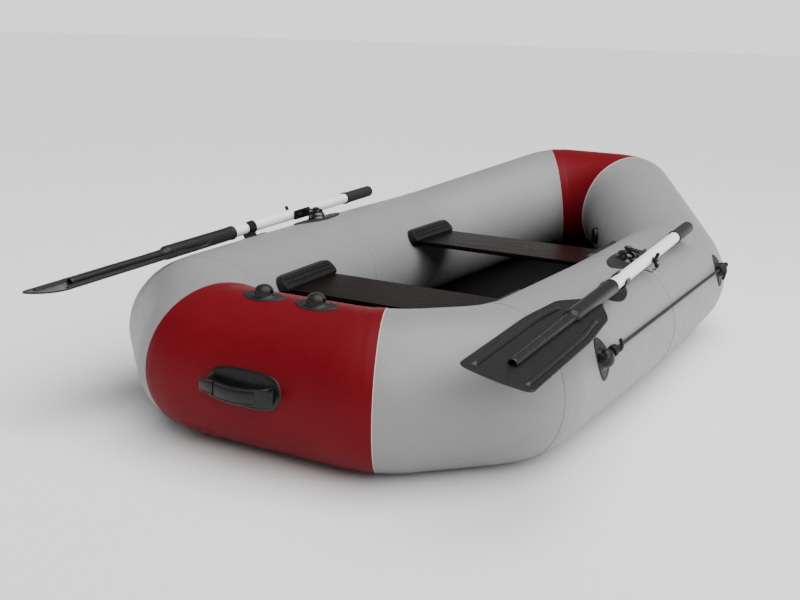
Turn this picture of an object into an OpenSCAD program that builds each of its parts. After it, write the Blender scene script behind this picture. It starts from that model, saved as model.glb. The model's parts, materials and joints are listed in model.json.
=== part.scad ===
// Inflatable rowing dinghy: eight-sided ring of welded PVC tube segments, stretched fabric floor,
// two plywood benches in rubber holders, two aluminium oars in swivelling oarlocks.
// Millimetres. +Z is up, +Y is the bow (raised end), -Y is the stern, +X is starboard.

/* [Hull] */
// outer diameter of the inflated tube
tube_d = 330; // [280:1:400]
// thickness of the coated fabric wall
wall = 1.2; // [0.7:0.1:2]
// distance from the middle seams aft to the stern tube's axis
stern_y = 820; // [600:5:1000]
// distance from the middle seams aft to the aft end of the side tubes' axes
stern_side_y = 625; // [450:5:800]
// half length of the stern tube's axis
stern_half = 210; // [120:5:300]
// half distance between the side tubes' axes at their aft end
stern_side_x = 405; // [300:1:500]
// half distance between the side tubes' axes at the middle seams
mid_x = 430; // [300:1:500]
// half distance between the side tubes' axes at their fore end
bow_side_x = 427; // [300:1:500]
// distance from the middle seams forward to the fore end of the side tubes' axes
bow_side_y = 583; // [400:1:800]
// distance from the middle seams forward to the bow tube's axis
bow_y = 1075; // [800:5:1300]
// half length of the bow tube's axis
bow_half = 135; // [80:5:250]
// height that the bow tube's axis is raised above the side tubes' axes
bow_rise = 130; // [0:5:250]
// height of the floor's underside above the ground
floor_z = 12; // [4:1:60]
// thickness of the floor fabric
floor_t = 2; // [1:0.5:6]

/* [Benches] */
// depth of a bench board, fore and aft
bench_w = 215; // [150:5:300]
// thickness of a bench board
bench_t = 12; // [8:1:20]
// height of a bench's underside above the ground
bench_z = 228; // [180:1:280]
// half length of the stern bench board
stern_bench_half = 254; // [200:1:300]
// half length of the rowing bench board
row_bench_half = 270; // [200:1:320]
// centre of the stern bench, measured forward from the middle seams
stern_bench_y = -357; // [-500:1:-200]
// centre of the rowing bench, measured forward from the middle seams
row_bench_y = 372; // [250:1:500]
// length of a bench holder
holder_l = 250; // [200:5:320]

/* [Oars] */
// outer diameter of the oar shaft
shaft_d = 30; // [24:1:40]
// distance from the oarlock forward to the end of the grip
grip_reach = 397; // [300:1:500]
// length of the grip sleeve
grip_l = 155; // [90:5:200]
// distance from the oarlock aft to the blade's tip
tip_reach = 987; // [800:1:1200]
// width of the blade
blade_w = 144; // [100:2:200]
// length of the flat blade
blade_l = 559; // [400:1:700]
// oarlock position, measured forward from the middle seams
lock_y = -12; // [-60:1:60]
// angle of the oarlock's base up the tube from the outboard side, in degrees
lock_ang = 80; // [60:1:90]
// distance from the middle seams aft to the oar clip
clip_y = 262; // [150:1:400]

/* [Fittings] */
// half distance between the two stern eyelets
stern_eye_x = 64; // [40:1:120]
// angle of the stern eyelets up the tube from the back, in degrees
stern_eye_ang = 84; // [70:1:90]
// position of the aft side eyelets, measured forward from the middle seams
side_eye_aft = -500; // [-600:5:-300]
// position of the fore side eyelets, measured forward from the middle seams
side_eye_fore = 515; // [300:5:560]
// diameter of the lifeline
rope_d = 8; // [4:1:12]
// sideways position of the carrying handle, minus towards port
handle_x = -10; // [-40:1:40]
// how far the carrying handle stands off the stern tube
handle_h = 37; // [25:1:60]

/* [Hidden] */

R = tube_d / 2;
ri = R - wall;
handle_ang = 5;
// the frame's origin is at the centre of the boat's box, on the ground
reach_aft = stern_y + (R + handle_h) * cos(handle_ang) + 17 * sin(handle_ang);
ys = (reach_aft - bow_y - R) / 2;

// tube axis corners on the starboard side, from the stern to the bow
V1 = [stern_half, ys - stern_y, R];
V2 = [stern_side_x, ys - stern_side_y, R];
V3 = [mid_x, ys, R];
V4 = [bow_side_x, ys + bow_side_y, R];
V5 = [bow_half, ys + bow_y, R + bow_rise];
function flip(p) = [-p[0], p[1], p[2]];
function unit(v) = v / norm(v);
function bis(a, p, b) = unit(unit(p - a) + unit(b - p));
N1 = bis(flip(V1), V1, V2);
N2 = bis(V1, V2, V3);
N3 = bis(V2, V3, V4);
N4 = bis(V3, V4, V5);
N5 = bis(V4, V5, flip(V5));

GREY = [0.56, 0.56, 0.57];
RED = [0.48, 0.03, 0.05];
BLACK = [0.06, 0.06, 0.065];
WOOD = [0.10, 0.06, 0.05];
ALU = [0.86, 0.86, 0.87];
STEEL = [0.7, 0.7, 0.72];
ROPE = [0.05, 0.05, 0.055];
e = 0.01;

// turns +Z to the direction d and moves the origin to p
module along(p, d) translate(p)
  rotate([0, acos(d[2] / norm(d)), atan2(d[1], d[0])]) children();

module beyond(p, n) along(p, n) translate([-500, -500, 0]) cube([1000, 1000, 500]);

module tube_solid(p, q, r, ext) let (d = unit(q - p))
  along(p - ext * d, d) cylinder(r = r, h = norm(q - p) + 2 * ext, $fn = 144);

// one straight tube segment, mitred at both ends
module tube_seg(p, q, np, nq) difference() {
  tube_solid(p, q, R, 180);
  tube_solid(p, q, ri, 200);
  beyond(p, -np);
  beyond(q, nq);
}

// local frame on a tube: +Z is the surface normal, +Y runs along the tube, the tube axis is at Z = 0
module at_tube(a, yaw, ang) translate(a) rotate([0, 0, yaw]) rotate([0, 90 - ang, 0]) children();

module skin_ring(r0, r1, l) rotate([90, 0, 0]) difference() {
  cylinder(r = r1, h = l, center = true, $fn = 144);
  cylinder(r = r0, h = l + 2, center = true, $fn = 144);
}

// rubber patch that follows the tube, from a flat outline
module patch(t, l, gap = 0) intersection() {
  skin_ring(R + gap, R + t, l + 20);
  translate([0, 0, R - 40]) linear_extrude(80) children();
}

module stadium(l, w) {
  square([w, l - w], center = true);
  for (s = [-1, 1]) translate([0, s * (l - w) / 2]) circle(d = w, $fn = 64);
}

// pointed oval with rounded ends, long axis along Y
module oval(l, w) let (rr = (l * l / 4 + w * w / 4) / w) intersection() {
  translate([rr - w / 2, 0]) circle(r = rr, $fn = 180);
  translate([w / 2 - rr, 0]) circle(r = rr, $fn = 180);
  stadium(l * 0.93, w);
}

module round_rect(l, w, r) {
  square([l - 2 * r, w], center = true);
  square([l, w - 2 * r], center = true);
  for (x = [-1, 1], y = [-1, 1]) translate([x * (l / 2 - r), y * (w / 2 - r)]) circle(r = r, $fn = 48);
}

// ---- hull ----
module stern_tube() color(RED) tube_seg(flip(V1), V1, flip(N1) * -1, N1);
module stern_corner_starboard() color(GREY) difference() {
  tube_seg(V1, V2, N1, N2);
  stern_valve_frame() cylinder(r = 15, h = R + 20, $fn = 48);
}
module stern_corner_port() color(GREY) mirror([1, 0, 0]) tube_seg(V1, V2, N1, N2);
module side_tube_aft_starboard() color(GREY) tube_seg(V2, V3, N2, N3);
module side_tube_aft_port() color(GREY) mirror([1, 0, 0]) tube_seg(V2, V3, N2, N3);
module side_tube_fore_starboard() color(GREY) tube_seg(V3, V4, N3, N4);
module side_tube_fore_port() color(GREY) mirror([1, 0, 0]) tube_seg(V3, V4, N3, N4);
module bow_corner_starboard() color(GREY) difference() {
  tube_seg(V4, V5, N4, N5);
  bow_valve_frame() cylinder(r = 15, h = R + 20, $fn = 48);
}
module bow_corner_port() color(GREY) mirror([1, 0, 0]) tube_seg(V4, V5, N4, N5);
module bow_tube() color(RED) tube_seg(V5, flip(V5), N5, flip(N5) * -1);

module bulkhead() along(V3 - 0.6 * N3, N3) cylinder(r = ri, h = 1.2, $fn = 144);
module bulkhead_starboard() color(GREY) bulkhead();
module bulkhead_port() color(GREY) mirror([1, 0, 0]) bulkhead();

module both_sides() {
  children();
  mirror([1, 0, 0]) children();
}
module all_tubes() {
  tube_solid(flip(V1), V1, R, 60);
  tube_solid(flip(V5), V5, R, 90);
  both_sides() {
    tube_solid(V1, V2, R, 60);
    tube_solid(V2, V3, R, 3);
    tube_solid(V3, V4, R, 40);
    tube_solid(V4, V5, R, 90);
  }
}
module floor_main() color(BLACK) difference() {
  translate([0, 0, floor_z]) linear_extrude(floor_t)
    polygon([[-V1[0], V1[1]], [V1[0], V1[1]], [V2[0], V2[1]], [V3[0], V3[1]], [V4[0], V4[1]],
      [-V4[0], V4[1]], [-V3[0], V3[1]], [-V2[0], V2[1]]]);
  all_tubes();
}
bow_slope = atan2(bow_rise, bow_y - bow_side_y);
module floor_bow() color(BLACK) difference() {
  translate([0, V4[1], floor_z]) rotate([bow_slope, 0, 0]) linear_extrude(floor_t)
    polygon([[-V4[0], 1.2], [V4[0], 1.2], [V5[0], (bow_y - bow_side_y) / cos(bow_slope)],
      [-V5[0], (bow_y - bow_side_y) / cos(bow_slope)]]);
  all_tubes();
}

// ---- benches ----
module bench(half, yc) color(WOOD) translate([0, ys + yc, bench_z])
  linear_extrude(bench_t) round_rect(2 * half, bench_w, 12);
module stern_bench() bench(stern_bench_half, stern_bench_y);
module rowing_bench() bench(row_bench_half, row_bench_y);

aft_yaw = -atan2(V3[0] - V2[0], V3[1] - V2[1]);
fore_yaw = -atan2(V4[0] - V3[0], V4[1] - V3[1]);
function side_x(y) = y < 0 ? mid_x + (mid_x - stern_side_x) * y / stern_side_y
  : mid_x + (bow_side_x - mid_x) * y / bow_side_y;

// grooved rubber holder on the inner side of the tube, with a level slot for the board
module holder(yc, yaw) color(BLACK) translate([side_x(yc), ys + yc, R]) rotate([0, 0, yaw])
  difference() {
    intersection() {
      rotate([90, 0, 0]) linear_extrude(holder_l + 10, center = true)
        polygon([[-172, 55], [-172, 82], [-148, 108], [-118, 108], [-118, 55]]);
      rotate([0, 90 - 151, 0]) translate([0, 0, R - 40]) linear_extrude(90) stadium(holder_l, 58);
    }
    rotate([90, 0, 0]) cylinder(r = R, h = holder_l + 40, center = true, $fn = 144);
    translate([-200, -holder_l, bench_z - 0.2 - R]) cube([45, 2 * holder_l, bench_t + 0.5]);
    for (k = [0, 1]) rotate([0, -47.3, 0]) translate([k * 11.7 - 44.5, 0, 182])
      cube([3.5, holder_l - 34, 4], center = true);
  }
module stern_bench_holder_starboard() holder(stern_bench_y - 16, aft_yaw);
module stern_bench_holder_port() mirror([1, 0, 0]) holder(stern_bench_y - 16, aft_yaw);
module rowing_bench_holder_starboard() holder(row_bench_y - 10, fore_yaw);
module rowing_bench_holder_port() mirror([1, 0, 0]) holder(row_bench_y - 10, fore_yaw);

// ---- stern fittings ----
module handle_frame() at_tube([handle_x, V1[1], R], -90, handle_ang) children();
module handle_plate() color(BLACK) handle_frame() patch(3, 190) stadium(176, 78);
module carrying_handle() color(BLACK) handle_frame() difference() {
  rotate([90, 0, 90]) linear_extrude(34, center = true) {
    difference() {
      union() {
        translate([-74, R]) square([148, handle_h - 20]);
        translate([-57, R]) square([114, handle_h - 3]);
        for (s = [-1, 1]) translate([s * 57, R + handle_h - 20]) circle(r = 17, $fn = 64);
      }
      translate([-66, R - 10]) square([132, handle_h - 10]);
      translate([-57, R - 10]) square([114, handle_h]);
      for (s = [-1, 1]) translate([s * 57, R + handle_h - 20]) circle(r = 10, $fn = 48);
    }
    intersection() {
      difference() {
        translate([0, R + handle_h - 600]) circle(r = 600, $fn = 720);
        translate([0, R + handle_h - 600]) circle(r = 593.5, $fn = 720);
      }
      translate([-86, R]) square([172, handle_h + 5]);
    }
  }
  rotate([90, 0, 0]) cylinder(r = R + 3, h = 300, center = true, $fn = 144);
}

// rubber eye: oval patch with a dome and a hole through it along local Y (turn = 90 for along X)
module eye(pl, pw, pturn, dr, hr) {
  patch(2.5, 120) rotate(pturn) oval(pl, pw);
  difference() {
    intersection() {
      translate([0, 0, R + 4]) sphere(r = dr, $fn = 72);
      translate([0, 0, R]) cylinder(r = dr + 2, h = dr + 10, $fn = 72);
    }
    rotate([90, 0, 0]) cylinder(r = R + 2.5, h = 120, center = true, $fn = 144);
    translate([0, 0, R + 12]) rotate([90, 0, 0]) cylinder(r = hr, h = 120, center = true, $fn = 48);
  }
}
module stern_eyelets() color(BLACK) for (s = [-1, 1])
  at_tube([s * stern_eye_x, V1[1], R], -90, stern_eye_ang) eye(104, 54, 0, 19, 4);

eye_ang = 20;
module side_eyes() {
  at_tube([side_x(side_eye_aft), ys + side_eye_aft, R], aft_yaw, eye_ang) eye(96, 56, 90, 19, 4.4);
  at_tube([side_x(side_eye_fore), ys + side_eye_fore, R], fore_yaw, eye_ang) eye(96, 56, 90, 19, 4.4);
}
module side_eyelets_starboard() color(BLACK) side_eyes();
module side_eyelets_port() color(BLACK) mirror([1, 0, 0]) side_eyes();

// ---- lifeline ----
function eye_c(y) = [side_x(y) + (R + 12) * cos(eye_ang), ys + y, R + (R + 12) * sin(eye_ang)];
E1 = eye_c(side_eye_aft);
E2 = eye_c(side_eye_fore);
ux = [sin(-aft_yaw), cos(-aft_yaw), 0];
uy = [sin(-fore_yaw), cos(-fore_yaw), 0];
rope_route = [E1 - 30 * ux, E1 - 18 * ux, E1, E1 + 18 * ux, E1 + 36 * ux,
  [576.2, ys - 360, 222.2], [580.2, ys - 240, 224.4], [584.3, ys - 120, 226.4], [588.3, ys, 228.5],
  [588.4, ys + 120, 226.5], [588.6, ys + 240, 224.4], [588.7, ys + 360, 222.3], E2 - 36 * uy,
  E2 - 18 * uy, E2, E2 + 18 * uy, E2 + 30 * uy];

// closed round tube swept along a list of points
function tangent(p, i) = unit(i == 0 ? p[1] - p[0]
  : i == len(p) - 1 ? p[i] - p[i - 1] : unit(p[i + 1] - p[i]) + unit(p[i] - p[i - 1]));
function ring(p, i, r, n) = let (t = tangent(p, i), a = unit(cross(t, [0.31, 0.17, 0.93])), b = cross(t, a))
  [for (k = [0 : n - 1]) p[i] + r * (cos(360 * k / n) * a + sin(360 * k / n) * b)];
module sweep(p, r, n) polyhedron(
  points = [for (i = [0 : len(p) - 1]) each ring(p, i, r, n)],
  faces = concat([[for (k = [0 : n - 1]) k]],
    [for (i = [0 : len(p) - 2], k = [0 : n - 1]) let (k2 = (k + 1) % n)
      [i * n + k, (i + 1) * n + k, (i + 1) * n + k2, i * n + k2]],
    [[for (k = [n - 1 : -1 : 0]) (len(p) - 1) * n + k]]));
module lifeline() color(ROPE) sweep(rope_route, rope_d / 2, 12);
module knot(p, d) along(p, d) difference() {
  union() {
    cylinder(r = 8, h = 14, $fn = 32);
    translate([0, 0, 2]) cylinder(r = 9.2, h = 8, $fn = 32);
  }
  translate([0, 0, -1]) cylinder(r = rope_d / 2 + 0.1, h = 20, $fn = 32);
}
module lifeline_knots() color(ROPE) {
  knot(E1 + 22 * ux, ux);
  knot(E2 - 22 * uy, -uy);
}

// ---- valves ----
dirc = unit(V5 - V4);
outc = unit(cross(dirc, [0, 0, 1]));
module bow_valve_frame() along(V4 + 290 * dirc, -outc) children();
dirs = unit(V2 - V1);
outs = unit(cross(dirs, [0, 0, 1]));
module stern_valve_frame() along(V1 + 150 * dirs, unit(-outs + [0, 0, 0.15])) children();

// flanged neck with a spider that guides the stem
module valve_body() {
  difference() {
    union() {
      translate([0, 0, R - 6]) cylinder(r = 27, h = 10, $fn = 72);
      translate([0, 0, R - 22]) cylinder(r = 14.8, h = 28, $fn = 48);
    }
    translate([0, 0, R - 30]) cylinder(r = 11.5, h = 50, $fn = 48);
  }
  difference() {
    translate([0, 0, R - 22]) cylinder(r = 14.8, h = 25, $fn = 48);
    translate([0, 0, R - 19]) cylinder(r = 11.5, h = 40, $fn = 48);
    translate([0, 0, R - 30]) cylinder(r = 2.56, h = 20, $fn = 32);
    for (a = [0 : 60 : 300]) rotate(a) translate([7.2, 0, R - 30]) cylinder(r = 2.4, h = 20, $fn = 32);
  }
}
module valve_stem() {
  translate([0, 0, R - 30]) cylinder(r = 2.5, h = 28, $fn = 32);
  translate([0, 0, R - 24]) cylinder(r = 13, h = 1.6, $fn = 48);
  translate([0, 0, R - 2]) cylinder(r = 5.5, h = 2.5, $fn = 32);
}
module valve_spring() difference() {
  translate([0, 0, R - 18.9]) cylinder(r = 4.6, h = 16.8, $fn = 32);
  translate([0, 0, R - 20]) cylinder(r = 3.2, h = 20, $fn = 32);
}
module valve_cap() difference() {
  union() {
    translate([0, 0, R + 4.4]) cylinder(r = 25.5, h = 6, $fn = 72);
    translate([-19, -3.5, R + 10]) cube([38, 7, 5]);
  }
  translate([0, 0, R + 4]) cylinder(r = 15.4, h = 3, $fn = 48);
}
module bow_valve_body() color(BLACK) difference() {
  bow_valve_frame() valve_body();
  difference() {
    tube_solid(V4, V5, R, 10);
    bow_valve_frame() translate([0, 0, R - 40]) cylinder(r = 14.85, h = 60, $fn = 48);
  }
}
module bow_valve_stem() color(BLACK) bow_valve_frame() valve_stem();
module bow_valve_spring() color(STEEL) bow_valve_frame() valve_spring();
module bow_valve_cap() color(BLACK) bow_valve_frame() valve_cap();
module stern_valve_body() color(BLACK) difference() {
  stern_valve_frame() valve_body();
  difference() {
    tube_solid(V1, V2, R, 10);
    stern_valve_frame() translate([0, 0, R - 40]) cylinder(r = 14.85, h = 60, $fn = 48);
  }
}
module stern_valve_stem() color(BLACK) stern_valve_frame() valve_stem();
module stern_valve_spring() color(STEEL) stern_valve_frame() valve_spring();
module stern_valve_cap() color(BLACK) stern_valve_frame() valve_cap();

// ---- oarlocks and oars, drawn to starboard and mirrored to port ----
module lock_frame() at_tube([side_x(lock_y), ys + lock_y, R], 0, lock_ang) children();
pin_h = R + 11;
module oarlock_base() color(BLACK) lock_frame() {
  patch(2.5, 240, 0.15) oval(236, 72);
  difference() {
    intersection() {
      translate([0, 0, R + 3]) rotate([90, 0, 0]) cylinder(r = 19, h = 60, center = true, $fn = 96);
      translate([0, 0, R]) cylinder(r = 23, h = 40, $fn = 72);
    }
    rotate([90, 0, 0]) cylinder(r = R + 2.5, h = 120, center = true, $fn = 144);
    translate([0, 0, pin_h]) rotate([90, 0, 0]) cylinder(r = 3.05, h = 80, center = true, $fn = 32);
  }
}
module oarlock_pin() color(STEEL) lock_frame() translate([0, 0, pin_h]) rotate([90, 0, 0]) {
  cylinder(r = 3, h = 56.6, center = true, $fn = 32);
  for (s = [-1, 1]) translate([0, 0, s * 29.3]) cylinder(r = 5, h = 2.4, center = true, $fn = 32);
}
// saddle with two ears on the pin and a stud square to the tube's surface
module oarlock_yoke() color(BLACK) lock_frame() {
  difference() {
    union() {
      for (s = [-1, 1]) translate([-8, s * 25.6 - 1.6, R + 6]) cube([16, 3.2, 20]);
      translate([-9, -27.2, R + 23]) cube([18, 54.4, 3.2]);
      for (s = [-1, 1]) translate([0, s * 25.6, pin_h]) rotate([90, 0, 0])
        cylinder(r = 8, h = 3.2, center = true, $fn = 48);
    }
    translate([0, 0, pin_h]) rotate([90, 0, 0]) cylinder(r = 3.05, h = 80, center = true, $fn = 32);
  }
  translate([0, 0, R + 26]) cylinder(r = 4, h = 8.6, $fn = 32);
  translate([0, 0, R + 30.9]) cylinder(r = 7.5, h = 3.2, $fn = 48);
}

// the oar's own frame: the shaft's axis runs along Y, -Y is towards the blade
shaft_p = [518, ys + lock_y, 341];
module oar_frame() translate(shaft_p) rotate([2.0, 0, 0.6]) children();
sr = shaft_d / 2;
bolt_y = -28;
module cross_cyl(r, x0, x1) translate([x0, bolt_y, 0]) rotate([0, 90, 0])
  cylinder(r = r, h = x1 - x0, $fn = 32);
module oar_bracket() color(BLACK) difference() {
  union() {
    lock_frame() {
      translate([0, 0, R + 26.6]) cylinder(r = 11, h = 4, $fn = 48);
      translate([0, -11, R + 26.6]) cube([40, 22, 4]);
    }
    // the lower edge stays 3 mm above the base's patch over the whole dip and swing
    oar_frame() translate([-sr - 4.3, -52, -12]) cube([4, 76, 26]);
  }
  lock_frame() translate([0, 0, R + 20]) cylinder(r = 4.05, h = 20, $fn = 32);
  oar_frame() cross_cyl(3.05, -60, 40);
}
module oar_bolt() color(STEEL) oar_frame() {
  cross_cyl(3, -sr - 6.5, sr + 15);
  cross_cyl(5.5, -sr - 7.5, -sr - 4.4);
  cross_cyl(8, sr + 0.2, sr + 1.8);
}
module wing_nut() color(BLACK) oar_frame() difference() {
  union() {
    cross_cyl(6.5, sr + 2, sr + 11);
    translate([0, bolt_y, 0]) rotate([90, 0, 0]) for (s = [-1, 1]) linear_extrude(5, center = true) {
      polygon([[sr + 3, s * 3], [sr + 10, s * 3], [sr + 16, s * 13], [sr + 8, s * 17]]);
      translate([sr + 12, s * 15]) circle(r = 4.5, $fn = 48);
    }
  }
  cross_cyl(3.05, sr, sr + 40);
}
module oar_shaft() color(ALU) oar_frame() difference() {
  translate([0, 392, 0]) rotate([90, 0, 0]) cylinder(r = sr, h = 392 + 560, $fn = 72);
  translate([0, 400, 0]) rotate([90, 0, 0]) cylinder(r = sr - 1.5, h = 980, $fn = 72);
  cross_cyl(3.05, -40, 40);
}
module oar_grip() color(BLACK) oar_frame() difference() {
  union() {
    translate([0, grip_reach, 0]) rotate([90, 0, 0]) cylinder(r = sr + 2, h = grip_l, $fn = 72);
    translate([0, grip_reach - grip_l + 6, 0]) rotate([90, 0, 0]) cylinder(r = sr + 3.2, h = 6, $fn = 72);
  }
  translate([0, 392.1, 0]) rotate([90, 0, 0]) cylinder(r = sr + 0.05, h = 400, $fn = 72);
}
blade_roll = 11;
y0b = -(tip_reach - blade_l);
module blade_outline() {
  hw = blade_w / 2;
  difference() {
    union() {
      polygon([[-13, y0b], [13, y0b], [hw - 16, y0b - 105], [hw, y0b - 190], [hw, -tip_reach + 14],
        [hw - 14, -tip_reach], [14 - hw, -tip_reach], [-hw, -tip_reach + 14], [-hw, y0b - 190],
        [16 - hw, y0b - 105]]);
      for (s = [-1, 1]) translate([s * (hw - 20), y0b - 190 + 6]) circle(r = 20, $fn = 48);
      for (s = [-1, 1]) translate([s * (hw - 14), -tip_reach + 14]) circle(r = 14, $fn = 48);
    }
  }
}
module oar_blade() color(BLACK) oar_frame() rotate([0, blade_roll, 0]) difference() {
  union() {
    translate([0, -330, 0]) rotate([90, 0, 0]) cylinder(r = 18, h = 262, $fn = 72);
    translate([0, -590, 0]) rotate([90, 0, 0]) cylinder(r1 = 12.5, r2 = 10, h = 322, $fn = 72);
    translate([0, 0, -7]) linear_extrude(4) blade_outline();
    for (s = [-1, 1]) translate([s * 50 - 4, -tip_reach + 24, -4]) cube([8, 330, 6]);
  }
  translate([0, -320, 0]) rotate([90, 0, 0]) cylinder(r = sr + 0.05, h = 240.1, $fn = 72);
  translate([0, -780, 0]) rotate([90, 0, 0]) cylinder(r = 6.5, h = 300, $fn = 48);
}

// spring clip that holds the shaft down to the tube
module oar_clip() color(BLACK) difference() {
  union() {
    at_tube([side_x(-clip_y), ys - clip_y, R], aft_yaw, 58) {
      patch(2.5, 150) oval(150, 64);
      translate([-11, -14, R + 1.5]) cube([22, 28, 16]);
    }
    clip_ring(28) circle(r = 19.2, $fn = 72);
  }
  at_tube([side_x(-clip_y), ys - clip_y, R], aft_yaw, 58)
    rotate([90, 0, 0]) cylinder(r = R, h = 200, center = true, $fn = 144);
  clip_ring(60) {
    circle(r = 15.7, $fn = 72);
    translate([-12.5, 0]) square([25, 60]);
  }
}
module clip_ring(h) oar_frame() translate([0, -clip_y - lock_y, 0]) rotate([0, 32, 0])
  rotate([90, 0, 0]) linear_extrude(h, center = true) children();

// short zigzag cord that keeps the wing nut
tether_route = [[551, -42, 333], [550, -46, 328], [546, -52, 324], [548, -58, 320], [543, -63, 322],
  [544, -70, 317], [539, -76, 318], [536, -82, 321], [530, -87, 322.5]];
module nut_tether() color(ROPE)
  sweep([for (p = tether_route) [p[0], p[1] + ys, p[2]]], 1.3, 8);

module port() mirror([1, 0, 0]) children();
module oarlock_base_starboard() oarlock_base();
module oarlock_pin_starboard() oarlock_pin();
module oarlock_yoke_starboard() oarlock_yoke();
module oar_bracket_starboard() oar_bracket();
module oar_bolt_starboard() oar_bolt();
module wing_nut_starboard() wing_nut();
module oar_shaft_starboard() oar_shaft();
module oar_grip_starboard() oar_grip();
module oar_blade_starboard() oar_blade();
module oar_clip_starboard() oar_clip();
module nut_tether_starboard() nut_tether();
module oarlock_base_port() port() oarlock_base();
module oarlock_pin_port() port() oarlock_pin();
module oarlock_yoke_port() port() oarlock_yoke();
module oar_bracket_port() port() oar_bracket();
module oar_bolt_port() port() oar_bolt();
module wing_nut_port() port() wing_nut();
module oar_shaft_port() port() oar_shaft();
module oar_grip_port() port() oar_grip();
module oar_blade_port() port() oar_blade();
module oar_clip_port() port() oar_clip();
module nut_tether_port() port() nut_tether();

stern_tube();
stern_corner_starboard();
stern_corner_port();
side_tube_aft_starboard();
side_tube_aft_port();
side_tube_fore_starboard();
side_tube_fore_port();
bow_corner_starboard();
bow_corner_port();
bow_tube();
bulkhead_starboard();
bulkhead_port();
floor_main();
floor_bow();
stern_bench();
rowing_bench();
stern_bench_holder_starboard();
stern_bench_holder_port();
rowing_bench_holder_starboard();
rowing_bench_holder_port();
handle_plate();
carrying_handle();
stern_eyelets();
side_eyelets_starboard();
side_eyelets_port();
lifeline();
lifeline_knots();
bow_valve_body();
bow_valve_stem();
bow_valve_spring();
bow_valve_cap();
stern_valve_body();
stern_valve_stem();
stern_valve_spring();
stern_valve_cap();
oarlock_base_starboard();
oarlock_pin_starboard();
oarlock_yoke_starboard();
oar_bracket_starboard();
oar_bolt_starboard();
wing_nut_starboard();
oar_shaft_starboard();
oar_grip_starboard();
oar_blade_starboard();
oar_clip_starboard();
nut_tether_starboard();
oarlock_base_port();
oarlock_pin_port();
oarlock_yoke_port();
oar_bracket_port();
oar_bolt_port();
wing_nut_port();
oar_shaft_port();
oar_grip_port();
oar_blade_port();
oar_clip_port();
nut_tether_port();
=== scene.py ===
import bpy
import bmesh
import json
import math
import numpy as np
from mathutils import Matrix, Vector
from mathutils.bvhtree import BVHTree


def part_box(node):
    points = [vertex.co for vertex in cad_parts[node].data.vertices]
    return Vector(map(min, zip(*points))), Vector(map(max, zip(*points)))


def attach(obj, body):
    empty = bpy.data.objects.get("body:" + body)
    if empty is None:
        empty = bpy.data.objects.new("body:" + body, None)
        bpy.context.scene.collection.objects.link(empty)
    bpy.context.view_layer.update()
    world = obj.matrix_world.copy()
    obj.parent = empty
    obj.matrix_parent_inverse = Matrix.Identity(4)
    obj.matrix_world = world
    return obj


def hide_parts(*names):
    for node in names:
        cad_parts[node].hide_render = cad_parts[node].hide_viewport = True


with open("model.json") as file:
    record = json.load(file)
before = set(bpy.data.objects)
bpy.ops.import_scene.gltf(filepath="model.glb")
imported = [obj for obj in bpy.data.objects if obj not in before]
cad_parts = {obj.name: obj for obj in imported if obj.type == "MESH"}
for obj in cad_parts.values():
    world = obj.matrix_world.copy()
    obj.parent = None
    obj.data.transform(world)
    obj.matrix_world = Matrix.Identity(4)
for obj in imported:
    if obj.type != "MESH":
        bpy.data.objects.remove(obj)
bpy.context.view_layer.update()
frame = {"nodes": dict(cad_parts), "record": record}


def rad(a):
    return math.radians(a)


def unit(v):
    v = np.asarray(v, float)
    return v / np.linalg.norm(v)


# ---------------------------------------------------------------- camera
def make_camera(x, y, z, az, el, roll, focal):
    a, e, r = rad(az), rad(el), rad(roll)
    back = np.array([math.sin(a) * math.cos(e), -math.cos(a) * math.cos(e), math.sin(e)])
    right0 = np.array([math.cos(a), math.sin(a), 0.0])
    up0 = np.cross(back, right0)
    right = math.cos(r) * right0 + math.sin(r) * up0
    up = -math.sin(r) * right0 + math.cos(r) * up0
    data = bpy.data.cameras.new("camera")
    data.sensor_width = 36.0
    data.lens = focal
    data.clip_end = 200.0
    cam = bpy.data.objects.new("camera", data)
    bpy.context.scene.collection.objects.link(cam)
    m = Matrix.Identity(4)
    for i, col in enumerate((right, up, back, (x, y, z))):
        for j in range(3):
            m[j][i] = float(col[j])
    cam.matrix_world = m
    bpy.context.scene.camera = cam
    return cam


# ---------------------------------------------------------------- shared dimensions, in metres
def centre(node):
    lo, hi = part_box(node)
    return (np.array(lo) + np.array(hi)) / 2


YS = float(centre("bulkhead_starboard")[1])
R = float(centre("side_tube_aft_starboard")[2])
make_camera(1.2016, YS - 2.6379, 0.8961, 27.73, 14.55, 1.77, 48.82)

V1 = np.array([0.210, YS - 0.820, R])
V2 = np.array([0.405, YS - 0.625, R])
V3 = np.array([0.430, YS, R])
V4 = np.array([0.427, YS + 0.583, R])
V5 = np.array([0.135, YS + 1.075, R + 0.130])


def flip(p):
    return np.array([-p[0], p[1], p[2]])


LOOP = [flip(V1), V1, V2, V3, V4, V5, flip(V5), flip(V4), flip(V3), flip(V2)]
SIDES = (("starboard", 1), ("port", -1))


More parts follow.
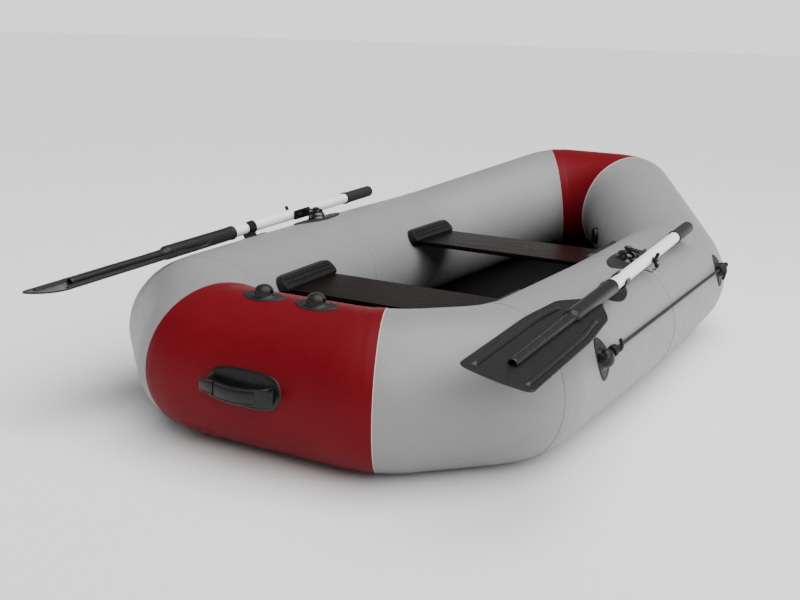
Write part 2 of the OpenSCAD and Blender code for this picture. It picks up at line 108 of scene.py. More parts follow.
# ---------------------------------------------------------------- materials
class Mat:
    """A small builder for node materials; lengths are in metres."""

    def __init__(self, name, color, rough=0.5, metal=0.0, coat=0.0, coat_rough=0.1, sheen=0.0,
                 ior=1.5, spec=0.25):
        self.mat = bpy.data.materials.new(name)
        self.mat.use_nodes = True
        self.nt = self.mat.node_tree
        self.nt.nodes.clear()
        self.out = self.add("ShaderNodeOutputMaterial")
        self.b = self.add("ShaderNodeBsdfPrincipled")
        self.nt.links.new(self.b.outputs[0], self.out.inputs[0])
        self.color = color
        self.set("Base Color", (*color, 1))
        self.set("Roughness", rough)
        self.set("Metallic", metal)
        self.set("IOR", ior)
        self.set("Specular IOR Level", spec)
        self.set("Coat Weight", coat)
        self.set("Coat Roughness", coat_rough)
        self.set("Sheen Weight", sheen)
        self.rough = rough
        self.tc = self.add("ShaderNodeTexCoord")
        self.normal = None

    def add(self, kind, **props):
        n = self.nt.nodes.new(kind)
        for k, v in props.items():
            setattr(n, k, v)
        return n

    def set(self, name, value):
        self.b.inputs[name].default_value = value

    def link(self, a, b):
        self.nt.links.new(a, b)

    def coords(self, kind="Object", scale=(1, 1, 1), rot=(0, 0, 0)):
        m = self.add("ShaderNodeMapping")
        m.inputs["Scale"].default_value = scale
        m.inputs["Rotation"].default_value = rot
        self.link(self.tc.outputs[kind], m.inputs["Vector"])
        return m.outputs[0]

    def noise(self, size, detail=4.0, rough=0.55, coords=None, kind="Object"):
        n = self.add("ShaderNodeTexNoise")
        n.inputs["Scale"].default_value = 1.0 / size
        n.inputs["Detail"].default_value = detail
        n.inputs["Roughness"].default_value = rough
        self.link(coords if coords is not None else self.tc.outputs[kind], n.inputs["Vector"])
        return n.outputs[0]

    def cells(self, size, kind="Object"):
        n = self.add("ShaderNodeTexVoronoi")
        n.inputs["Scale"].default_value = 1.0 / size
        self.link(self.tc.outputs[kind], n.inputs["Vector"])
        return n.outputs["Distance"]

    def wave(self, pitch, axis, kind="Object", distort=0.0, coords=None):
        n = self.add("ShaderNodeTexWave")
        n.wave_type = "BANDS"
        n.bands_direction = axis
        n.inputs["Scale"].default_value = 0.31416 / pitch
        n.inputs["Distortion"].default_value = distort
        self.link(coords if coords is not None else self.tc.outputs[kind], n.inputs["Vector"])
        return n.outputs[1]

    def math(self, op, a, b):
        n = self.add("ShaderNodeMath", operation=op)
        for i, v in enumerate((a, b)):
            if isinstance(v, (int, float)):
                n.inputs[i].default_value = v
            else:
                self.link(v, n.inputs[i])
        return n.outputs[0]

    def ramp(self, src, lo, hi, a=0.0, b=1.0):
        n = self.add("ShaderNodeMapRange")
        n.inputs["From Min"].default_value = lo
        n.inputs["From Max"].default_value = hi
        n.inputs["To Min"].default_value = a
        n.inputs["To Max"].default_value = b
        self.link(src, n.inputs["Value"])
        return n.outputs[0]

    def tint(self, src, color, lo=0.35, hi=0.65, amount=1.0):
        """Blend towards another colour where src is high."""
        f = self.ramp(src, lo, hi, 0.0, amount)
        n = self.add("ShaderNodeMix", data_type="RGBA")
        self.link(f, n.inputs[0])
        base = self.b.inputs["Base Color"]
        if base.is_linked:
            self.link(base.links[0].from_socket, n.inputs[6])
        else:
            n.inputs[6].default_value = base.default_value
        n.inputs[7].default_value = (*color, 1)
        self.link(n.outputs[2], base)
        return self

    def rough_by(self, src, a, b, lo=0.3, hi=0.7):
        self.link(self.ramp(src, lo, hi, a, b), self.b.inputs["Roughness"])
        return self

    def bump(self, src, depth, strength=1.0):
        n = self.add("ShaderNodeBump")
        n.inputs["Distance"].default_value = depth
        n.inputs["Strength"].default_value = strength
        self.link(src, n.inputs["Height"])
        if self.normal is not None:
            self.link(self.normal, n.inputs["Normal"])
        self.normal = n.outputs[0]
        self.link(self.normal, self.b.inputs["Normal"])
        return self

    def soft_edges(self, r):
        n = self.add("ShaderNodeBevel")
        n.samples = 4
        n.inputs["Radius"].default_value = r
        self.normal = n.outputs[0]
        self.link(self.normal, self.b.inputs["Normal"])
        return self


def pvc(name, color, rough, dark, light, spec=0.3):
    m = Mat(name, color, rough, spec=spec)
    m.tint(m.noise(0.35, 3.0), dark, 0.42, 0.75, 0.5)
    m.tint(m.noise(0.05, 5.0), light, 0.5, 0.8, 0.35)
    m.tint(m.noise(0.004, 2.0), dark, 0.55, 0.75, 0.25)
    m.rough_by(m.noise(0.02, 4.0), rough - 0.05, rough + 0.06)
    weave = m.math("MULTIPLY", m.wave(0.0012, "X", "UV"), m.wave(0.0012, "Y", "UV"))
    m.bump(m.noise(0.16, 2.0), 0.0012, 0.35)
    m.bump(m.noise(0.012, 3.0), 0.00012, 0.5)
    m.bump(weave, 0.00006, 0.6)
    return m.mat


GREY = pvc("pvc_grey", (0.225, 0.225, 0.227), 0.42, (0.205, 0.205, 0.207), (0.25, 0.25, 0.252))
RED = pvc("pvc_red", (0.130, 0.0035, 0.0075), 0.42, (0.105, 0.0025, 0.006), (0.155, 0.005, 0.010),
          0.08)
FLOOR = pvc("pvc_floor", (0.006, 0.0055, 0.006), 0.5, (0.004, 0.004, 0.004), (0.009, 0.008, 0.008),
            0.1)


def edge_mat(name, color):
    m = Mat(name, color, 0.6)
    m.tint(m.noise(0.003, 3.0), tuple(c * 0.75 for c in color), 0.4, 0.7, 0.8)
    m.bump(m.noise(0.001, 3.0), 0.0002, 0.6)
    return m.mat


EDGE_PALE = edge_mat("pvc_edge_pale", (0.62, 0.50, 0.50))
EDGE_GREY = edge_mat("pvc_edge_grey", (0.17, 0.17, 0.175))


def rubber(name, color, rough=0.5, stipple=0.0011, depth=0.00016, edge=0.0006, spec=0.2):
    m = Mat(name, color, rough, spec=spec)
    if edge:
        m.soft_edges(edge)
    lighter = tuple(min(1, c * 1.9 + 0.004) for c in color)
    m.tint(m.noise(0.018, 5.0), lighter, 0.5, 0.8, 0.45)
    m.tint(m.noise(0.0035, 3.0), tuple(c * 0.6 for c in color), 0.5, 0.75, 0.5)
    m.rough_by(m.noise(0.01, 4.0), rough - 0.08, rough + 0.1)
    m.bump(m.noise(0.006, 3.0), 0.00015, 0.4)
    m.bump(m.cells(stipple), depth, 0.5)
    return m.mat


RUBBER = rubber("rubber_black", (0.0065, 0.0065, 0.0065), 0.34, spec=0.3)
RUBBER_SOFT = rubber("rubber_dome", (0.013, 0.0122, 0.012), 0.34, 0.0016, 0.00008, 0.0008)
DOME = rubber("rubber_dome_glossy", (0.014, 0.0095, 0.0100), 0.18, 0.0016, 0.00003, 0.0008, 0.7)
PATCH = rubber("rubber_patch", (0.020, 0.0195, 0.0195), 0.5, 0.0018, 0.00028, 0)
PLASTIC = rubber("plastic_black", (0.008, 0.008, 0.0085), 0.36, 0.0009, 0.00008, 0.0006)
BLADE = rubber("plastic_blade", (0.010, 0.010, 0.0102), 0.36, 0.0013, 0.00010, 0, 0.3)
GRIP = rubber("grip_sleeve", (0.022, 0.0185, 0.018), 0.5, 0.0022, 0.0003, 0)


def shaft_mat():
    m = Mat("shaft_pale_metal", (0.93, 0.93, 0.935), 0.34, 0.12, spec=0.4)
    m.tint(m.noise(0.0016, 3.0), (0.74, 0.74, 0.75), 0.5, 0.72, 0.5)
    m.tint(m.noise(0.05, 3.0, coords=m.coords(scale=(6, 0.5, 6))), (0.84, 0.84, 0.85), 0.5, 0.8,
           0.5)
    m.rough_by(m.noise(0.01, 4.0), 0.27, 0.44)
    m.bump(m.noise(0.0009, 2.0), 0.00007, 0.5)
    return m.mat


def steel_mat():
    m = Mat("steel", (0.13, 0.13, 0.135), 0.34, 1.0)
    m.soft_edges(0.0004)
    m.tint(m.noise(0.006, 4.0), (0.07, 0.07, 0.072), 0.45, 0.8, 0.6)
    m.rough_by(m.noise(0.004, 4.0), 0.26, 0.44)
    m.bump(m.noise(0.0012, 3.0), 0.00005, 0.5)
    return m.mat


def ply_mat(edge=False):
    m = Mat("plywood_edge" if edge else "plywood_face", (0.0055, 0.0034, 0.0028), 0.3, spec=0.045)
    if edge:
        m.tint(m.wave(0.0016, "Z", distort=1.5), (0.004, 0.003, 0.0028), 0.3, 0.7, 0.9)
        m.tint(m.noise(0.004, 4.0, coords=m.coords(scale=(0.1, 0.1, 1))), (0.016, 0.009, 0.007),
               0.55, 0.75, 0.5)
        m.bump(m.wave(0.0016, "Z", distort=1.5), 0.0001, 0.5)
    else:
        grain = m.noise(0.012, 7.0, 0.62, coords=m.coords(scale=(0.06, 1, 1)))
        m.tint(grain, (0.013, 0.0062, 0.0042), 0.45, 0.7, 0.85)
        m.tint(m.noise(0.12, 2.0), (0.005, 0.0034, 0.003), 0.45, 0.7, 0.6)
        m.bump(grain, 0.00018, 0.35)
        m.rough_by(grain, 0.2, 0.36)
        m.bump(m.noise(0.09, 2.0), 0.0005, 0.3)
    return m.mat


def rope_mat(pitch):
    m = Mat("braided_cord_%d" % round(pitch * 10000), (0.006, 0.0055, 0.0055), 0.62, sheen=0.05,
            spec=0.15)
    a = m.wave(pitch, "DIAGONAL", "UV")
    b = m.wave(pitch, "DIAGONAL", "UV", coords=m.coords("UV", (1, -1, 1)))
    br = m.math("MAXIMUM", a, b)
    # Painted highlight and painted shade: the strand crests are painted lighter and the grooves
    # between strands stay darker, following the braid's bump.
    m.tint(br, (0.020, 0.0185, 0.018), 0.4, 0.9, 0.8)
    m.tint(m.noise(0.0015, 3.0), (0.003, 0.003, 0.003), 0.5, 0.7, 0.6)
    m.bump(br, 0.0005, 0.9)
    return m.mat


SHAFT = shaft_mat()
STEEL = steel_mat()
PLY = ply_mat()
PLY_EDGE = ply_mat(True)
ROPE = rope_mat(0.0035)
CORD = rope_mat(0.0014)


# ---------------------------------------------------------------- mesh helpers
def make_object(name, verts, faces, mats, face_mats=None, smooth=True, uvs=None):
    me = bpy.data.meshes.new(name)
    me.from_pydata([tuple(map(float, v)) for v in verts], [], faces)
    for m in mats:
        me.materials.append(m)
    if face_mats is not None:
        me.polygons.foreach_set("material_index", face_mats)
    me.polygons.foreach_set("use_smooth", [smooth] * len(me.polygons))
    if uvs is not None:
        layer = me.uv_layers.new(name="UVMap")
        idx = np.empty(len(me.loops), dtype=np.int32)
        me.loops.foreach_get("vertex_index", idx)
        layer.data.foreach_set("uv", np.asarray(uvs, dtype=np.float32)[idx].ravel())
    me.validate()
    me.update()
    ob = bpy.data.objects.new(name, me)
    bpy.context.scene.collection.objects.link(ob)
    return ob


def grid_faces(nu, nv, close_v=False, flip_n=False, base=0):
    faces = []
    for i in range(nu - 1):
        for j in range(nv if close_v else nv - 1):
            k = (j + 1) % nv
            f = (base + i * nv + j, base + i * nv + k, base + (i + 1) * nv + k,
                 base + (i + 1) * nv + j)
            faces.append(f[::-1] if flip_n else f)
    return faces


def place(ob, body, slot, *nodes):
    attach(ob, body)
    if nodes:
        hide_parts(*nodes)
    return ob


def at_tube(x, y, z, yaw, ang):
    """Frame on a tube: local Z is the surface normal, local Y runs along the tube."""
    upright = Matrix.Rotation(rad(90 - ang), 4, "Y")
    return Matrix.Translation((x, y, z)) @ Matrix.Rotation(yaw, 4, "Z") @ upright


# ---------------------------------------------------------------- hull tubes
NT = 168
SOFT = 0.085


def hull_lines(k):
    n = len(LOOP)
    c = [LOOP[(k + i) % n] for i in range(-2, 5)]
    d = [unit(c[i + 1] - c[i]) for i in range(6)]
    nn = [None] + [unit(d[i - 1] + d[i]) for i in range(1, 6)]
    a = unit(np.cross(d[2], [0, 0, 1]))
    b = np.cross(a, d[2])
    th = np.linspace(0, 2 * math.pi, NT, endpoint=False)
    off = R * (np.cos(th)[:, None] * a + np.sin(th)[:, None] * b)

    def meet(p, dd, corner, normal):
        t = ((corner - p) @ normal) / (dd @ normal)
        return p + t[:, None] * dd

    p0 = meet(c[2] + off, d[2], c[2], nn[2])
    p1 = meet(c[3] + off, d[2], c[3], nn[3])
    pm = meet(p0, d[1], c[1], nn[1])
    pp = meet(p1, d[3], c[4], nn[4])
    ell = (p1 - p0) @ d[2]
    w0 = np.minimum(SOFT, 0.49 * np.minimum(ell, (p0 - pm) @ d[1]))
    w1 = np.minimum(SOFT, 0.49 * np.minimum(ell, (pp - p1) @ d[3]))
    return p0, p1, d[1], d[2], d[3], ell, w0, w1


def hull_point(lines, t):
    p0, p1, dm, d, dp, ell, w0, w1 = lines
    p = p0 + t[:, None] * d
    s = t
    q0 = p0 - ((w0 - s) ** 2 / (4 * w0))[:, None] * dm + ((w0 + s) ** 2 / (4 * w0))[:, None] * d
    s = t - ell
    q1 = p1 - ((w1 - s) ** 2 / (4 * w1))[:, None] * d + ((w1 + s) ** 2 / (4 * w1))[:, None] * dp
    p = np.where((t < w0)[:, None], q0, p)
    return np.where((t > ell - w1)[:, None], q1, p)


def hull_normal(lines, t):
    h = 1e-4
    along = hull_point(lines, t + h) - hull_point(lines, t - h)
    p = hull_point(lines, t)
    around = np.roll(p, -1, 0) - np.roll(p, 1, 0)
    n = np.cross(around, along)
    n /= np.linalg.norm(n, axis=1)[:, None]
    mid = p.mean(0)
    if ((p - mid) * n).sum() < 0:
        n = -n
    return n


def tube_piece(k, node, mat, over0, over1, edge):
    lines = hull_lines(k)
    ell = lines[5]
    lap, lift = 0.022, 0.0009
    rows = []

    def ring(t, h, mi):
        rows.append((hull_point(lines, t) + h * hull_normal(lines, t), t, mi))

    z = np.zeros(NT)
    if over0:
        ring(z - 0.0016, -0.0001, 1)
        ring(z - 0.0002, lift, 1)
        ring(z + 0.001, lift, 0)
    else:
        ring(z - 0.016, -0.0006, 0)
        ring(z, 0.0, 0)
    n = 56
    for i in range(n + 1):
        u = i / n
        u = 0.5 - 0.5 * math.cos(math.pi * u) if n else u
        u = 0.6 * u + 0.4 * i / n
        t = 0.004 + u * (ell - 0.008)
        h = np.zeros(NT)
        if over0:
            h += lift * np.clip((lap + 0.008 - t) / 0.008, 0, 1)
        if over1:
            h += lift * np.clip((t - (ell - lap - 0.008)) / 0.008, 0, 1)
        rows.append((hull_point(lines, t) + h[:, None] * hull_normal(lines, t), t, 0))
    if over1:
        ring(ell - 0.001, lift, 0)
        ring(ell + 0.0002, lift, 1)
        ring(ell + 0.0016, -0.0001, 1)
    else:
        ring(ell, 0.0, 0)
        ring(ell + 0.016, -0.0006, 0)
    verts = np.concatenate([r[0] for r in rows])
    around = np.arange(NT) * (2 * math.pi * R / NT)
    uvs = np.concatenate([np.stack([r[1], around], 1) for r in rows])
    nr = len(rows)
    faces = grid_faces(nr, NT, close_v=True, flip_n=True)
    fm = []
    for i in range(nr - 1):
        m = 1 if (rows[i][2] == 1 and rows[i + 1][2] == 1) else 0
        fm += [m] * NT
    ob = make_object("skin_" + node, verts, faces, [mat, edge], fm, True, uvs)
    place(ob, "hull", "red_pvc" if mat is RED else "grey_pvc", node)
    return ob


HULL = [
    tube_piece(0, "stern_tube", RED, 1, 1, EDGE_PALE),
    tube_piece(1, "stern_corner_starboard", GREY, 0, 0, EDGE_GREY),
    tube_piece(2, "side_tube_aft_starboard", GREY, 1, 0, EDGE_GREY),
    tube_piece(3, "side_tube_fore_starboard", GREY, 1, 1, EDGE_GREY),
    tube_piece(4, "bow_corner_starboard", GREY, 0, 0, EDGE_GREY),
    tube_piece(5, "bow_tube", RED, 1, 1, EDGE_PALE),
    tube_piece(6, "bow_corner_port", GREY, 0, 0, EDGE_GREY),
    tube_piece(7, "side_tube_fore_port", GREY, 1, 1, EDGE_GREY),
    tube_piece(8, "side_tube_aft_port", GREY, 0, 1, EDGE_GREY),
    tube_piece(9, "stern_corner_port", GREY, 0, 0, EDGE_GREY),
]


def hull_tree():
    verts, polys, base = [], [], 0
    for ob in HULL:
        me = ob.data
        verts += [v.co.copy() for v in me.vertices]
        polys += [[base + i for i in p.vertices] for p in me.polygons]
        base += len(me.vertices)
    return BVHTree.FromPolygons(verts, polys)


TREE = hull_tree()


def on_hull(M, x, y, h):
    """Point at height h above the hull, under local (x along the arc, y) of a tube frame."""
    rho = R + 0.04
    p = M @ Vector((rho * math.sin(x / R), y, rho * math.cos(x / R)))
    q = M @ Vector((0, y, 0))
    hit, nor, i, dist = TREE.ray_cast(p, (q - p).normalized(), 0.12)
    up = (p - q).normalized()
    if hit is None:
        hit = q + up * R
    return hit + up * h


# ---------------------------------------------------------------- floor
def floor_half(y, z):
    """Half width of the floor at y, where it meets the tubes."""
    lo, hi = 0.0, 0.45
    for _ in range(26):
        x = (lo + hi) / 2
        p = np.array([x, y, z])
        inside = False
        for i in range(6):
            a, b = LOOP[i], LOOP[i + 1]
            d = b - a
            t = min(1.0, max(0.0, ((p - a) @ d) / (d @ d)))
            if np.linalg.norm(p - a - t * d) < R - 0.0015:
                inside = True
        lo, hi = (lo, x) if inside else (x, hi)
    return lo


def floor_sheet():
    lo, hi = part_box("floor_main")
    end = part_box("floor_bow")[1][1]
    slope = (V5[2] - V4[2]) / (V5[1] - V4[1])
    ys = np.linspace(lo[1] + 0.001, end - 0.002, 150)
    us = np.sin(np.linspace(-math.pi / 2, math.pi / 2, 57))
    verts, uvs, widths = [], [], []
    for y in ys:
        z = hi[2] + max(0.0, y - V4[1]) * slope
        h = floor_half(y, z)
        widths.append(2 * h)
        for u in us:
            edge = math.exp(-(1 - abs(u)) * h / 0.05)
            dz = 0.0011 * edge * math.sin(y * 47 + 3 * u)
            dz += 0.0014 * math.sin(7 * y + 1.3) * (1 - u * u)
            dz += 0.0008 * math.sin(13 * y + 5 * u) * math.sin(9 * u * h * 10 + y)
            verts.append((u * h, y, z + dz + 0.0005))
            uvs.append((u * h, y))
    ob = make_object("floor_sheet", verts, grid_faces(len(ys), len(us)), [FLOOR], None, True, uvs)
    place(ob, "hull", "floor_pvc", "floor_main", "floor_bow")
    return ob


floor_sheet()


# ---------------------------------------------------------------- benches
def rounded_rect(hx, hy, r, n=9):
    pts = []
    for qx, qy, a0 in ((1, 1, 0), (-1, 1, 90), (-1, -1, 180), (1, -1, 270)):
        for i in range(n + 1):
            a = rad(a0 + 90 * i / n)
            pts.append((qx * (hx - r) + r * math.cos(a), qy * (hy - r) + r * math.sin(a)))
    return pts


def board(node, body):
    lo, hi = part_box(node)
    c = (lo + hi) / 2
    h = (hi - lo) / 2
    b = 0.0016
    rows = [(b * 1.6, -1, 0), (b, -1, 0), (b * 0.3, -1, b * 0.3), (0, -1, b), (0, 1, -b),
            (b * 0.3, 1, -b * 0.3)]
    rows += [(b, 1, 0), (b * 1.6, 1, 0)]
    verts, n = [], 0
    for inset, s, dz in rows:
        ring = rounded_rect(h.x - inset, h.y - inset, 0.012 - inset)
        n = len(ring)
        verts += [(c.x + x, c.y + y, c.z + s * h.z + dz) for x, y in ring]
    faces = [tuple(reversed(range(n)))]
    faces += grid_faces(len(rows), n, close_v=True)
    faces.append(tuple((len(rows) - 1) * n + i for i in range(n)))
    fm = [0] + [0] * n + [0] * n + [1] * n + [1] * n + [1] * n + [0] * n + [0] * n + [0]
    ob = make_object(node + "_board", verts, faces, [PLY, PLY_EDGE], fm, True)
    ob.data.set_sharp_from_angle(angle=rad(40))
    return place(ob, body, "plywood", node)


board("stern_bench", "stern_bench_board")
board("rowing_bench", "rowing_bench_board")


# ---------------------------------------------------------------- patches and domes
def leaf(l, w, turn=False):
    def f(p):
        c, s = math.cos(p), math.sin(p)
        x = w / 2 * math.copysign(abs(c) ** 1.3, c)
        y = l / 2 * s
        return (y, x) if turn else (x, y)

    return f


def stadium(l, w):
    def f(p):
        c, s = math.cos(p), math.sin(p)
        k = 3.2
        q = (abs(c) ** k + abs(s) ** k) ** (-1 / k)
        y = l / 2 * s * q
        x = w / 2 * c * q
        far = max(0.0, abs(y) - (l - w) / 2)
        x = math.copysign(min(abs(x), math.sqrt(max(0.0, (w / 2) ** 2 - far**2))), x)
        return (x, y)

    return f


def patch(name, M, outline, t, rim=0.0007, mat=None, n=112):
    fr = (0.0, 0.3, 0.6, 0.78, 0.85, 0.88, 0.905, 0.93, 0.955, 0.975, 0.99, 1.0)
    hh = (t, t, t, t, t, t + rim, t + rim, t, t, t * 0.85, t * 0.5, -0.0004)
    verts, uvs = [], []
    for f, h in zip(fr, hh):
        for i in range(n):
            x, y = outline(2 * math.pi * i / n)
            verts.append(on_hull(M, x * f, y * f, h))
            uvs.append((x * f, y * f))
    return make_object(name, verts, grid_faces(len(fr), n, close_v=True), [mat or PATCH], None,
                       True, uvs)


def fix_normals(ob):
    bm = bmesh.new()
    bm.from_mesh(ob.data)
    bmesh.ops.remove_doubles(bm, verts=bm.verts, dist=1e-6)
    bmesh.ops.recalc_face_normals(bm, faces=bm.faces)
    bm.to_mesh(ob.data)
    bm.free()
    return ob


def lathe(name, M, profile, mats, n=64, face_mats=None, sx=1.0, sy=1.0, arc=False, sharp=35):
    """Turns (radius, height) pairs about local Z. With arc, the piece follows the tube's curve."""
    verts, uvs, run = [], [], 0.0
    for k, (r, h) in enumerate(profile):
        if k:
            run += math.hypot(r - profile[k - 1][0], h - profile[k - 1][1])
        for i in range(n):
            a = 2 * math.pi * i / n
            x, y = r * sx * math.cos(a), r * sy * math.sin(a)
            if arc:
                rho = R + h
                verts.append(M @ Vector((rho * math.sin(x / R), y, rho * math.cos(x / R))))
            else:
                verts.append(M @ Vector((x, y, h)))
            uvs.append((a * 0.02, run))
    fm = None
    if face_mats is not None:
        fm = []
        for k in range(len(profile) - 1):
            fm += [face_mats[k]] * n
    ob = make_object(name, verts, grid_faces(len(profile), n, close_v=True), mats, fm, True, uvs)
    fix_normals(ob)
    ob.data.set_sharp_from_angle(angle=rad(sharp))
    return ob


def drill(ob, M, x, h, r, length=0.12):
    """A round hole along local Y, at local x and height h."""
    n = 32
    verts = []
    for s in (-1, 1):
        for i in range(n):
            a = 2 * math.pi * i / n
            verts.append(M @ Vector((x + r * math.cos(a), s * length / 2, R + h + r * math.sin(a))))
    faces = grid_faces(2, n, close_v=True) + [tuple(range(n)), tuple(reversed(range(n, 2 * n)))]
    tool = make_object("tool", verts, faces, [], None, False)
    fix_normals(tool)
    mod = ob.modifiers.new("hole", "BOOLEAN")
    mod.operation = "DIFFERENCE"
    mod.solver = "EXACT"
    mod.object = tool
    dg = bpy.context.evaluated_depsgraph_get()
    me = bpy.data.meshes.new_from_object(ob.evaluated_get(dg))
    ob.modifiers.clear()
    ob.data = me
    bpy.data.objects.remove(tool)
    me.set_sharp_from_angle(angle=rad(40))
    return ob


def dome(name, M, rx, ry, top, mat, sunk=-0.004):
    prof = [(0.0005, sunk), (1.42, sunk), (1.42, 0.0012), (1.36, 0.0027), (1.2, 0.0034),
            (1.09, 0.0048)]
    prof += [(1.03, 0.0072), (1.0, 0.0102)]
    for i in range(1, 15):
        a = rad(90 * i / 14)
        prof.append((max(0.0005, math.cos(a)), 0.0102 + (top - 0.0102) * math.sin(a) ** 0.92))
    return lathe(name, M, prof, [mat], 72, sx=rx, sy=ry, arc=True, sharp=60)


def side_x(y):
    return 0.430 + (0.025 * y / 0.625 if y < 0 else -0.003 * y / 0.583)


YAW_AFT = -math.atan2(0.025, 0.625)
YAW_FORE = -math.atan2(-0.003, 0.583)
MIRROR = Matrix.Scale(-1, 4, (1, 0, 0))


def eyelet(name, M, M2, l, w, turn, hole, replaced):
    p = patch(name + "_patch", M2, leaf(l, w, turn), 0.0025)
    place(p, "hull", "black_rubber", *replaced)
    d = dome(name + "_dome", M2, 0.0190, 0.0202, 0.0255, RUBBER_SOFT)
    drill(d, M, 0.0, 0.012, hole)
    place(d, "hull", "black_rubber")


for side, g in SIDES:
    x = 0.064 * g
    M = at_tube(x, V1[1], R, rad(-90), 84)
    eyelet("stern_eyelet_" + side, M, M, 0.104, 0.054, False, 0.0042,
           ["stern_eyelets"] if g > 0 else [])
    for spot, yy, yaw in (("aft", -0.500, YAW_AFT), ("fore", 0.515, YAW_FORE)):
        M, M2 = (at_tube(side_x(yy), YS + yy, R, yaw, a) for a in (20, 18))
        if g < 0:
            M, M2 = MIRROR @ M, MIRROR @ M2
        eyelet("side_eyelet_%s_%s" % (side, spot), M, M2, 0.098, 0.064, True, 0.0046,
               ["side_eyelets_" + side] if spot == "aft" else [])

M = at_tube(-0.010, V1[1], R, rad(-90), 5)
place(patch("handle_plate_skin", M, stadium(0.178, 0.079), 0.0030, 0.0012, RUBBER), "hull",
      "black_rubber", "handle_plate")


def strap(name, M, path, width, thick, mats, flare=None, droop=0.0):
    """A moulded strap along (y, height) points, its width along local X, with ribs."""
    n = len(path)
    verts, uvs, run = [], [], 0.0
    for i, (y, h) in enumerate(path):
        a, b = path[max(0, i - 1)], path[min(n - 1, i + 1)]
        ty, th = b[0] - a[0], b[1] - a[1]
        q = math.hypot(ty, th)
        ny, nh = -th / q, ty / q
        if i:
            run += math.hypot(y - path[i - 1][0], h - path[i - 1][1])
        w = width / 2 * (flare(i / (n - 1)) if flare else 1.0)
        k = 0.38 * thick
        sec = []
        for sx, sn, a0 in ((1, 1, 0), (-1, 1, 90), (-1, -1, 180), (1, -1, 270)):
            for j in range(6):
                g = rad(a0 + 18 * j)
                sec.append((sx * (w - k) + k * math.cos(g), sn * (thick / 2 - k) + k * math.sin(g)))
            if sn == 1 and sx == 1:
                for f, d in ((0.80, 0), (0.74, -0.0007), (0.68, 0), (0, 0.0004), (-0.68, 0),
                             (-0.74, -0.0007), (-0.80, 0)):
                    sec.append((f * w, thick / 2 + d))
        for x, o in sec:
            verts.append(M @ Vector((x + droop * (1 - (y / 0.072) ** 2), y + ny * o,
                                     R + h + nh * o)))
            uvs.append((x, run))
    m = len(sec)
    faces = grid_faces(n, m, close_v=True) + [tuple(range(m)),
                                              tuple(reversed(range((n - 1) * m, n * m)))]
    ob = make_object(name, verts, faces, mats, None, True, uvs)
    fix_normals(ob)
    ob.data.set_sharp_from_angle(angle=rad(42))
    return ob


def arch():
    """Leg, bend, bowed bar, bend, leg."""
    pts = [(-0.072, 0.001), (-0.0712, 0.010), (-0.0700, 0.018)]
    pts += [(-0.0700 + 0.016 * (1 - math.cos(rad(a))),
             0.018 + 0.0125 * math.sin(rad(a))) for a in range(12, 91, 13)]
    bar = [(y, 0.0368 - 0.0085 * (y / 0.060) ** 2) for y in np.linspace(-0.048, 0.048, 33)]
    return pts[:-1] + bar + [(-y, h) for y, h in reversed(pts[:-1])]


place(strap("carrying_handle_grip", M, arch(), 0.034, 0.0062, [RUBBER], droop=0.006), "hull",
      "black_rubber", "carrying_handle")
ends = [(-0.0875, 0.0262), (-0.084, 0.0275), (-0.078, 0.0294), (-0.070, 0.0312), (-0.060, 0.0328),
        (-0.050, 0.0338)]
for g in (-1, 1):
    tab = [(-g * y, h) for y, h in ends]
    place(strap("carrying_handle_tab_%d" % (1 if g > 0 else 2), M, tab, 0.032, 0.0042, [RUBBER],
                lambda t: 0.78 + 0.22 * min(1, abs(t - 0.45) * 2.2), 0.002), "hull", "black_rubber")

LOCK_Y = -0.012


def yoke_path():
    pts = [(-0.0256, 0.006), (-0.0256, 0.018)]
    pts += [(-0.0256 + 0.006 * (1 - math.cos(rad(a))),
             0.0186 + 0.006 * math.sin(rad(a))) for a in range(15, 91, 15)]
    pts += [(y, 0.0246) for y in np.linspace(-0.017, 0.0, 6)]
    return pts + [(-y, h) for y, h in reversed(pts[:-1])]


def yoke(side, M):
    s = strap("oarlock_strap_" + side, M, yoke_path(), 0.0105, 0.0030, [PLASTIC])
    place(s, "yoke_" + side, "black_plastic", "oarlock_yoke_" + side)
    for e in (-1, 1):
        A = M @ Matrix.Translation((0, 0, R + 0.011)) @ Matrix.Rotation(rad(-90 * e), 4, "X")
        prof = [(0.0031, 0.0240), (0.0085, 0.0240), (0.0092, 0.0246), (0.0092, 0.0266),
                (0.0085, 0.0272), (0.0031, 0.0272)]
        o = lathe("oarlock_ear_%s_%d" % (side, 1 if e > 0 else 2), A, prof, [PLASTIC], 40)
        place(o, "yoke_" + side, "black_plastic")
    A = M @ Matrix.Translation((0, 0, R))
    prof = [(0.0005, 0.0255), (0.0040, 0.0255), (0.0040, 0.0309), (0.0070, 0.0309),
            (0.0075, 0.0314), (0.0075, 0.0334)]
    prof += [(0.0068, 0.0342), (0.0045, 0.0345), (0.0042, 0.0339), (0.0005, 0.0339)]
    place(lathe("oarlock_stud_" + side, A, prof, [STEEL], 40), "yoke_" + side, "black_plastic")


for side, g in SIDES:
    M = at_tube(side_x(LOCK_Y), YS + LOCK_Y, R, 0, 80)
    M = MIRROR @ M if g < 0 else M
    p = patch("oarlock_patch_" + side, M, leaf(0.236, 0.074), 0.0026, 0.0008)
    place(p, "hull", "black_rubber", "oarlock_base_" + side)
    d = dome("oarlock_dome_" + side, M, 0.0230, 0.0223, 0.0226, DOME)
    place(d, "hull", "black_rubber")
    yoke(side, M)


# ---------------------------------------------------------------- oars
def oar_matrix():
    m = Matrix.Translation((0.518, YS + LOCK_Y, 0.341))
    return m @ Matrix.Rotation(rad(0.6), 4, "Z") @ Matrix.Rotation(rad(2.0), 4, "X")


def mirrored(ob, name):
    me = ob.data.copy()
    me.transform(MIRROR)
    me.flip_normals()
    o = bpy.data.objects.new(name, me)
    bpy.context.scene.collection.objects.link(o)
    return o


